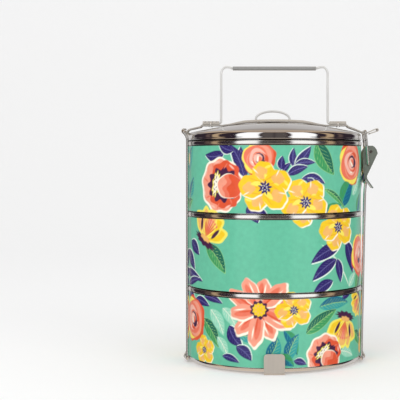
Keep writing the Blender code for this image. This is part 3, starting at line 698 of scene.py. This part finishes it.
def yellow_flower(rgb, x, y, s):
    for k in (0, 2, 4, 1, 3):
        turn = 90 + 72 * k
        way = turn + 9 * sin(2.3 * k)
        reach = s * (0.52 + 0.03 * sin(1.7 * k))
        px, py = outward(way, reach)
        dab(rgb, x, y, "cream", px + 0.035 * s, py - 0.045 * s, s * 0.5, s * 0.45, turn, 7, 0.035, k)
        dab(rgb, x, y, "yellow", px, py, s * 0.49, s * 0.44, turn, 7, 0.035, k)
        for lean in (-0.24, 0.02, 0.26):
            place = outward(way, reach * 0.66, s * lean)
            dab(rgb, x, y, "amber", *place, s * 0.27, s * 0.022, turn + 30 * lean, 3, 0.1)
        place = outward(way, reach * 1.12, s * 0.08)
        dab(rgb, x, y, "peach", *place, s * 0.24, s * 0.23, turn, 4, 0.1, k)
        place = outward(way, reach * 0.62, s * -0.12)
        dab(rgb, x, y, "lemon", *place, s * 0.2, s * 0.09, turn + 12, 3, 0.1, k)
        if k % 2 == 0:
            dab(rgb, x, y, "lemon", *outward(way, reach * 1.5, s * -0.2), s * 0.05, s * 0.13, turn + 15)
        dab(rgb, x, y, "cream", *outward(way, reach * 1.3, s * 0.3), s * 0.12, s * 0.02, turn + 40)
    around, r = np.arctan2(y, x), np.hypot(x, y)
    ink(rgb, edge(r - s * (0.21 + 0.05 * np.cos(9 * around) + 0.025 * np.cos(14 * around))), "navy")
    for k in range(9):
        a = 2 * pi * k / 9 + 0.4
        far = s * (0.08 + 0.06 * (k % 2))
        dab(rgb, x, y, "cream", cos(a) * far, sin(a) * far, s * 0.03, s * 0.014, 60 * k)


def daisy(rgb, x, y, s):
    for k in (0, 2, 4, 6, 8, 1, 3, 5, 7, 9):
        long = 1.0 + 0.1 * sin(2.1 * k)
        turn = 36 * k + 8
        reach = s * 0.56 * long
        px, py = outward(turn, reach * 1.04)
        dab(rgb, x, y, "cream", px + 0.03 * s, py - 0.04 * s, s * 0.45 * long, s * 0.24, turn, 6, 0.05, k)
        dab(rgb, x, y, "blush", *outward(turn, reach), s * 0.43 * long, s * 0.22, turn, 6, 0.05, k)
        dab(rgb, x, y, "coral", *outward(turn, reach * 0.9, s * 0.05), s * 0.33, s * 0.09, turn)
        dab(rgb, x, y, "red", *outward(turn, reach * 0.72), s * 0.24, s * 0.026, turn)
        dab(rgb, x, y, "cream", *outward(turn, reach * 1.15, s * -0.07), s * 0.16, s * 0.02, turn)
    around, r = np.arctan2(y, x), np.hypot(x, y)
    ink(rgb, edge(r - s * (0.26 + 0.03 * np.cos(9 * around))), "plum")
    ink(rgb, edge(r - s * (0.19 + 0.015 * np.cos(11 * around))), "yellow")
    for k in range(7):
        a = 2 * pi * k / 7
        dab(rgb, x, y, "peach", cos(a) * s * 0.11, sin(a) * s * 0.11, s * 0.03, s * 0.02, 51 * k)


# %% [markdown]
# The poppy is a cup seen from the side, with a scalloped rim, a dark throat full of stamens and one
# big petal in front. The rose is a ball of curling stripes round a plum comma. The bell flower
# hangs its ragged mouth open.

# %% Poppy, rose and bell


def poppy(rgb, x, y, s):
    dab(rgb, x, y, "cream", 0, 0, s * 1.0, s * 1.04, 0, 9, 0.035)
    dab(rgb, x, y, "blush", 0.02 * s, 0, s * 0.92, s * 0.96, 0, 9, 0.045)
    dab(rgb, x, y, "red", 0.2 * s, 0.3 * s, s * 0.68, s * 0.6, 20, 7, 0.07)
    dab(rgb, x, y, "red", 0.15 * s, -0.42 * s, s * 0.7, s * 0.42, -8, 7, 0.07)
    dab(rgb, x, y, "plum", 0.12 * s, 0.02 * s, s * 0.7, s * 0.62, 8, 11, 0.11)
    dab(rgb, x, y, "lemon", -0.2 * s, 0.04 * s, s * 0.17, s * 0.46, -12, 9, 0.14)
    dab(rgb, x, y, "cream", -0.2 * s, 0.04 * s, s * 0.11, s * 0.38, -12, 9, 0.2)
    for k in range(9):
        place = (-0.28 + 0.12 * (k % 2)) * s, (-0.33 + 0.09 * k) * s
        dab(rgb, x, y, "plum", *place, s * 0.06, s * 0.018, 35 + 50 * (k % 3))
    for k in range(6):
        a = 0.9 + 0.85 * k
        dab(rgb, x, y, "pink", 0.86 * s * cos(a), 0.88 * s * sin(a), s * 0.13, s * 0.035, 57.3 * a + 90)
        place = 0.74 * s * cos(a + 0.3), 0.78 * s * sin(a + 0.3)
        dab(rgb, x, y, "coral", *place, s * 0.12, s * 0.03, 57.3 * a)
    dab(rgb, x, y, "cream", 0.4 * s, -0.03 * s, s * 0.56, s * 0.47, 0, 5, 0.03)
    dab(rgb, x, y, "blush", 0.43 * s, -0.03 * s, s * 0.53, s * 0.45, 0, 5, 0.03)
    ripple = s * (0.22 + 0.08 * np.sin(y / s * 9) + 0.04 * np.sin(y / s * 17))
    front = edge(oval(x, y, 0.45 * s, -0.03 * s, s * 0.52, s * 0.44, 0, 5, 0.03))
    ink(rgb, front * edge(ripple - x), "coral")
    ink(rgb, front * edge(ripple + 0.2 * s - x), "red")


def rose(rgb, x, y, s):
    around, r = np.arctan2(y, x), np.hypot(x, y)
    rim = s * (1.0 + 0.05 * np.sin(5 * around + 0.6) + 0.02 * np.sin(11 * around))
    ink(rgb, edge(r - rim), "red")
    ink(rgb, edge(oval(x, y, -0.12 * s, 0.06 * s, s * 0.9, s * 0.92, 0, 5, 0.04)) * edge(r - rim), "lemon")
    shades = ["coral", "blush", "coral", "pink", "red", "blush", "pink", "coral"]
    for k, shade in enumerate(shades):
        size = 0.88 * (1 - k / 8.5)
        cx, cy = 0.06 * sin(1.9 * k) * s, 0.05 * cos(2.3 * k) * s
        dab(rgb, x, y, shade, cx, cy, s * size, s * size * 0.92, 40 * k, 3, 0.07, k)
        nx, ny = cx + 0.7 * size * s * cos(1.3 * k), cy + 0.7 * size * s * sin(1.3 * k)
        nick = oval(x, y, nx, ny, s * 0.2, s * 0.05, 75 * k + 90)
        ink(rgb, edge(nick) * edge(r - 0.86 * s), "cream" if k % 2 else "pink")
    arc = np.abs(r - s * (0.27 + 0.02 * around))
    ink(rgb, edge(arc - s * 0.055 * np.clip((2.6 - np.abs(around + 0.4)) / 1.6, 0, 1)), "plum")
    dab(rgb, x, y, "plum", 0.12 * s, -0.26 * s, s * 0.2, s * 0.12, 20, 3, 0.1)


def bell(rgb, x, y, s):
    for k, turn in enumerate((150, 30, 118, 62, 90)):
        a = radians(turn)
        c, d = cos(a) * s, sin(a) * s
        dab(rgb, x, y, "lemon", c * 0.5, d * 0.5 - 0.15 * s, s * 0.55, s * 0.33, turn, 5, 0.05, k)
        inner = "yellow" if k % 2 else "peach"
        dab(rgb, x, y, inner, c * 0.47, d * 0.47 - 0.15 * s, s * 0.46, s * 0.25, turn, 5, 0.06, k)
        dab(rgb, x, y, "blush", c * 0.36, d * 0.36 - 0.12 * s, s * 0.3, s * 0.11, turn, 4, 0.1, k)
    dab(rgb, x, y, "plum", -0.42 * s, 0.1 * s, s * 0.26, s * 0.07, 112)
    dab(rgb, x, y, "plum", 0.42 * s, 0.1 * s, s * 0.26, s * 0.07, 68)
    for k in range(7):
        turn = 60 + 10 * k
        a = radians(turn)
        dab(rgb, x, y, "red", cos(a) * 0.4 * s, sin(a) * 0.4 * s - 0.25 * s, s * 0.3, s * 0.022, turn)
        dab(rgb, x, y, "coral", cos(a) * 0.72 * s, sin(a) * 0.72 * s - 0.25 * s, s * 0.045, s * 0.04, turn)
    dab(rgb, x, y, "plum", 0, -0.42 * s, s * 0.6, s * 0.17, 0, 11, 0.14)
    dab(rgb, x, y, "peach", 0, -0.3 * s, s * 0.3, s * 0.1, 0, 7, 0.12)


# %% [markdown]
# A leaf is given by its two ends, its half width and how far it bows. One side is shaded darker, a
# light vein runs along the middle, and a few side veins lean off it.

# %% Leaves
LEAVES = {
    "navy": ("navy", "navy", "slate", "foam"),
    "green": ("green", "deep", "lime", "lime"),
    "teal": ("teal", "green", "sea", "teal"),
    "blue": ("sea", "teal", "lime", "teal"),
    "mint": ("pale", "pale", "cream", "pale"),
}


def leaf(rgb, x, y, ends, half, bow, kind):
    (ax, ay), (bx, by) = ends
    long = sqrt((bx - ax) ** 2 + (by - ay) ** 2)
    c, d = (bx - ax) / long, (by - ay) / long
    along = ((x - ax) * c + (y - ay) * d) / long
    across = -(x - ax) * d + (y - ay) * c
    t = np.clip(along, 0.0, 1.0)
    across = across - bow * 4 * t * (1 - t)
    width = half * np.sin(pi * t**0.8) ** 0.85
    beyond = np.maximum(np.abs(along - 0.5) - 0.5, 0.0) * long
    gap = np.abs(across) - width + beyond
    main, dark, vein, rim = LEAVES[kind]
    if kind == "navy":
        ink(rgb, edge(np.abs(across - 0.2 * half) - width * 1.05 + beyond), rim)
    elif kind == "green":
        ink(rgb, edge(gap - 0.35), rim)
    inside = edge(gap)
    ink(rgb, inside, main)
    if kind != "mint":
        ink(rgb, inside * edge(-across), dark)
    lines = np.abs((along * long - np.abs(across) * 1.3) % (0.3 * half + 1.6) - 0.8) - 0.22
    veins = inside * edge(np.abs(across) - 0.72 * width) * edge(lines, 0.4)
    strength = {"mint": 0.5, "navy": 0.4}.get(kind, 0.7)
    ink(rgb, veins * strength, vein)
    ink(rgb, edge(np.abs(across) - 0.22, 0.4) * (along > 0.04) * (along < 0.9), vein)


# %% [markdown]
# Now the flowers are set out, back ones first. Angles are in degrees from the front and heights are
# in millimetres from the floor. What runs over the edge of one bowl goes on across the next, as it
# does on the real print, and the whole set comes again on the back of the bowls.

# %% Set out the print
SPRIGS = [  # kind, from (angle, height), to (angle, height), half width, bow
    ("navy", (-18, 146), (-21, 169), 4.6, 1.2), ("navy", (-19, 147), (-29, 171), 4.6, -2.0),
    ("navy", (-29, 157), (-44, 158), 3.2, 1.4), ("navy", (-33, 164), (-49, 163), 4.4, 2.0),
    ("navy", (-26, 166), (-37, 172), 3.4, 1.6), ("navy", (12, 154), (12, 168), 2.8, 0.8),
    ("navy", (13, 155), (23, 169), 3.6, -0.8), ("navy", (13, 156), (26, 157), 2.6, 0.8),
    ("navy", (8, 148), (21, 154), 3.2, 1.0), ("navy", (5, 150), (10, 157), 2.0, 0.4),
    ("navy", (4, 152), (5, 162), 2.8, 0.2), ("navy", (17, 145), (33, 141), 3.2, 2.6),
    ("navy", (20, 145), (26, 138), 2.6, 0.8), ("green", (27, 172), (40, 148), 7.0, -1.5),
    ("teal", (47, 124), (60, 146), 7.2, 1.4), ("teal", (67, 118), (74, 133), 4.6, 0.6),
    ("mint", (60, 132), (72, 145), 4.5, 1.0), ("green", (33, 137), (50, 122), 2.2, 1.6),
    ("teal", (31, 119), (47, 125), 3.4, 1.2), ("blue", (-74, 150), (-66, 170), 5.0, 1.5),
    ("blue", (-73, 130), (-64, 146), 4.6, -1.5), ("green", (-78, 122), (-66, 128), 3.6, 0.8),
    ("navy", (-17, 124), (-10, 112), 4.6, 1.0), ("navy", (-12, 121), (-4, 117), 3.2, 0.5),
    ("green", (-48, 95), (-32, 74), 6.0, 2.0), ("navy", (-68, 96), (-56, 86), 4.6, 1.0),
    ("navy", (-76, 88), (-62, 74), 5.0, 1.4), ("navy", (-78, 72), (-52, 66), 3.6, 1.2),
    ("navy", (-74, 62), (-55, 68), 2.8, 0.6), ("mint", (30, 96), (56, 60), 1.2, 3.0),
    ("navy", (45, 94), (23, 82), 5.0, -2.0), ("navy", (42, 84), (24, 69), 4.6, -1.4),
    ("navy", (39, 68), (24, 58), 4.2, -1.2), ("navy", (52, 97), (60, 72), 5.6, 1.0),
    ("navy", (43, 84), (46, 66), 3.8, 0.8), ("mint", (55, 62), (64, 72), 4.0, 0.6),
    ("green", (72, 76), (64, 57), 5.0, 1.0), ("navy", (-60, 52), (-45, 48), 3.4, 1.0),
    ("navy", (-72, 56), (-60, 46), 3.8, 1.2), ("navy", (-50, 55), (-34, 51), 3.0, 1.4),
    ("green", (-51, 38), (-37, 18), 5.4, 2.0), ("mint", (-44, 46), (-33, 27), 5.6, 1.8),
    ("mint", (-34, 48), (-24, 34), 4.8, 1.4), ("mint", (-38, 26), (-30, 12), 4.0, 1.0),
    ("navy", (-29, 35), (-20, 20), 5.2, -2.0), ("navy", (-24, 20), (-14, 10), 4.2, 1.4),
    ("navy", (-34, 12), (-22, 8), 2.6, 1.0), ("blue", (-22, 28), (-8, 24), 4.8, 1.8),
    ("blue", (-4, 12), (2, 28), 5.2, -1.6), ("teal", (6, 33), (14, 14), 4.0, 1.8),
    ("blue", (8, 10), (15, 30), 4.8, 1.4), ("teal", (2, 14), (12, 6), 4.2, 1.0),
    ("navy", (12, 10), (20, 7), 2.6, 0.6), ("blue", (29, 49), (54, 50), 5.0, 1.6),
    ("green", (20, 30), (42, 46), 5.0, 1.2), ("green", (42, 12), (54, 22), 3.0, 0.8),
    ("mint", (46, 14), (60, 8), 4.0, 1.0), ("green", (62, 26), (74, 14), 4.6, 1.0),
    ("navy", (48, 54), (58, 58), 3.0, 0.6), ("navy", (78, 140), (90, 152), 4.4, 1.0),
    ("green", (76, 96), (92, 110), 5.2, 1.4), ("blue", (80, 30), (94, 46), 5.0, 1.2),
    ("navy", (84, 66), (98, 78), 4.4, 1.2), ("mint", (82, 120), (94, 130), 4.4, 1.0),
]  # fmt: skip
FLOWERS = [  # kind, angle, height, size, turn
    (rose, -9.5, 160, 12.8, 10), (rose, 59, 157, 17.0, 60), (poppy, -36, 140, 20.0, 0),
    (yellow_flower, 19.5, 127.5, 18.5, 30), (yellow_flower, -5.8, 138.5, 19.5, 6),
    (bell, -47, 105, 20.5, -28), (yellow_flower, 44, 108, 18.0, 20), (rose, 72, 85, 16.5, -30),
    (rose, -64, 36, 17.5, 20),
    (daisy, -9.3, 48, 25.5, 0), (yellow_flower, 12, 47.5, 14.0, 15), (yellow_flower, -50, 14, 11.5, 10),
    (bell, 50, 32, 19.0, 165), (poppy, 33, 13, 15.5, -40), (bell, 68, 49, 13.0, 130),
    (yellow_flower, 80, 16, 12.0, 40), (poppy, 92, 122, 15.0, 30), (daisy, -90, 78, 17.0, 20),
    (yellow_flower, 90, 56, 13.0, 0), (rose, -88, 112, 13.5, 90), (yellow_flower, -84, 160, 13.5, 50),
]  # fmt: skip
print(len(SPRIGS), "leaves and", len(FLOWERS), "flowers in the set")


def paint(around, up, rgb):
    """Lays the whole set on points given by their distance round the bowl and height, in millimetres."""
    full = 2 * pi * WALL_R
    per_degree = full / 360

    def near(angle, height, reach):
        x = (around - angle * per_degree + full / 2) % full - full / 2
        y = up - height
        chosen = np.nonzero((np.abs(x) < reach) & (np.abs(y) < reach))[0]
        return chosen, x[chosen], y[chosen]

    for back in (0, 180):
        for kind, start, end, half, bow in SPRIGS:
            span = (end[0] - start[0]) * per_degree, end[1] - start[1]
            chosen, x, y = near(start[0] + back, start[1], sqrt(span[0] ** 2 + span[1] ** 2) + half + 4)
            part = rgb[chosen]
            leaf(part, x, y, ((0.0, 0.0), span), half, bow, kind)
            rgb[chosen] = part
        for flower, angle, height, size, turn in FLOWERS:
            chosen, x, y = near(angle + back, height, size * 1.35)
            c, d = cos(radians(turn)), sin(radians(turn))
            part = rgb[chosen]
            flower(part, x * c + y * d, -x * d + y * c, size)
            rgb[chosen] = part


# %% [markdown]
# The sleeve itself is a thin tube that starts inside the wall and stands less than a tenth of a
# millimetre proud of it. Its outside is cut into rows half a millimetre high, by subdividing only
# its upright edges, and its columns are as narrow, so the print's edges stay crisp.

# %% Printed sleeves


def enamel():
    mat, tree, shader = new_material("printed_enamel")
    here = add_node(tree, "ShaderNodeTexCoord").outputs["Object"]
    colour = add_node(tree, "ShaderNodeAttribute", attribute_name="print").outputs["Color"]
    blot = add_node(tree, "ShaderNodeTexNoise", {"Vector": here, "Scale": 260.0, "Detail": 3.0})
    level = spread(tree, blot, 0.3, 0.7, 0.95, 1.04)
    tuned = add_node(tree, "ShaderNodeHueSaturation", {"Color": colour, "Value": level.outputs[0]})
    cloud = add_node(tree, "ShaderNodeTexNoise", {"Vector": here, "Scale": 45.0, "Detail": 2.0})
    rough = spread(tree, cloud, 0.3, 0.7, 0.32, 0.42)
    peel = add_node(tree, "ShaderNodeTexNoise", {"Vector": here, "Scale": 700.0, "Detail": 2.0})
    raised = add_node(
        tree,
        "ShaderNodeBump",
        {"Height": peel.outputs[0], "Strength": 0.12, "Distance": BUMP_DEPTH},
    )
    tree.links.new(tuned.outputs[0], shader.inputs["Base Color"])
    tree.links.new(rough.outputs[0], shader.inputs["Roughness"])
    tree.links.new(raised.outputs[0], shader.inputs["Normal"])
    shader.inputs["Specular IOR Level"].default_value = 0.25
    shader.inputs["Coat Weight"].default_value = 0.25
    shader.inputs["Coat Roughness"].default_value = 0.12
    return mat


ENAMEL = enamel()


def sleeve(number, low, high, columns=860, row=0.52):
    deselect()
    inside, outside, chamfer = WALL_R - 0.2, WALL_R + 0.08, 0.05
    bpy.ops.mesh.primitive_circle_add(
        vertices=columns, radius=inside * MM, location=(0.0, 0.0, low * MM)
    )
    piece = bpy.context.object
    piece.name = piece.data.name = f"print_{number}"
    bpy.ops.object.mode_set(mode="EDIT")
    out = outside / inside
    bpy.ops.mesh.select_mode(type="EDGE")
    bpy.ops.mesh.select_all(action="SELECT")
    chamfer_lift, wall_lift = (0.0, 0.0, chamfer * MM), (0.0, 0.0, (high - low - 2 * chamfer) * MM)
    bpy.ops.mesh.extrude_region_move(TRANSFORM_OT_translate={"value": chamfer_lift})
    bpy.ops.transform.resize(value=(out, out, 1.0))
    bpy.ops.mesh.extrude_region_move(TRANSFORM_OT_translate={"value": wall_lift})
    bpy.ops.mesh.extrude_region_move(TRANSFORM_OT_translate={"value": chamfer_lift})
    bpy.ops.transform.resize(value=(1 / out, 1 / out, 1.0))
    bpy.ops.object.mode_set(mode="OBJECT")
    bpy.ops.object.transform_apply(location=True, rotation=False, scale=False)
    heights = [v.co.z / MM for v in piece.data.vertices]
    for line in piece.data.edges:
        a, b = (heights[i] for i in line.vertices)
        line.select = abs(a - b) > (high - low) / 2
    bpy.ops.object.mode_set(mode="EDIT")
    bpy.ops.mesh.subdivide(number_cuts=int((high - low) / row))
    bpy.ops.mesh.select_all(action="DESELECT")
    bpy.ops.mesh.select_non_manifold()
    bpy.ops.mesh.bridge_edge_loops()
    bpy.ops.mesh.select_all(action="SELECT")
    bpy.ops.mesh.normals_make_consistent(inside=False)
    bpy.ops.object.mode_set(mode="OBJECT")
    bpy.ops.object.shade_smooth_by_angle(angle=radians(40))

    points = np.empty(len(piece.data.vertices) * 3)
    piece.data.vertices.foreach_get("co", points)
    x, y, z = points.reshape(-1, 3).T / MM
    rgb = np.tile(np.array(MINT), (len(x), 1))
    paint(np.arctan2(x, -y) * WALL_R, z, rgb)
    rgba = np.concatenate([rgb, np.ones((len(x), 1))], axis=1)
    piece.data.attributes.new("print", "FLOAT_COLOR", "POINT").data.foreach_set("color", rgba.ravel())
    finish_piece(piece, f"tier_{number}", ENAMEL)
    return piece


BARE_FOOT, BARE_SEAM, BARE_UNDER_RIM = 3.5, 0.75, 0.65
BOTTOMS = [FLOORS[0] + BARE_FOOT, RIM_TOPS[0] + BARE_SEAM, RIM_TOPS[1] + BARE_SEAM]
for tier in (1, 2, 3):
    made = sleeve(tier, BOTTOMS[tier - 1], RIM_TOPS[tier - 1] - RIM_HEIGHT - BARE_UNDER_RIM)
    made.data.calc_loop_triangles()
    print(made.name, len(made.data.loop_triangles), "triangles")

# %% [markdown]
# ## Finishes for the solids that stay
# The strap, clips, lever, base straps, rivets and grip are sheet metal whose shapes are already
# right in the frame, so they only change finish. The finish goes on the object's material slots.

# %% Finish the remaining solids
for name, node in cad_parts.items():
    if node.hide_render:
        continue
    if "rivet" in name or name == "lid_loop_clip":
        coat = SPUN
    elif name == "latch_lever":
        coat = LEVER_MINT_REFLECTION
    elif name == "handle_grip":
        coat = FOLDED
    elif name == "base_strap_front_to_back":
        coat = TABBED
    else:
        coat = BRUSHED
    for material_slot in node.material_slots:
        material_slot.material = coat
    print(name, "->", coat.name)
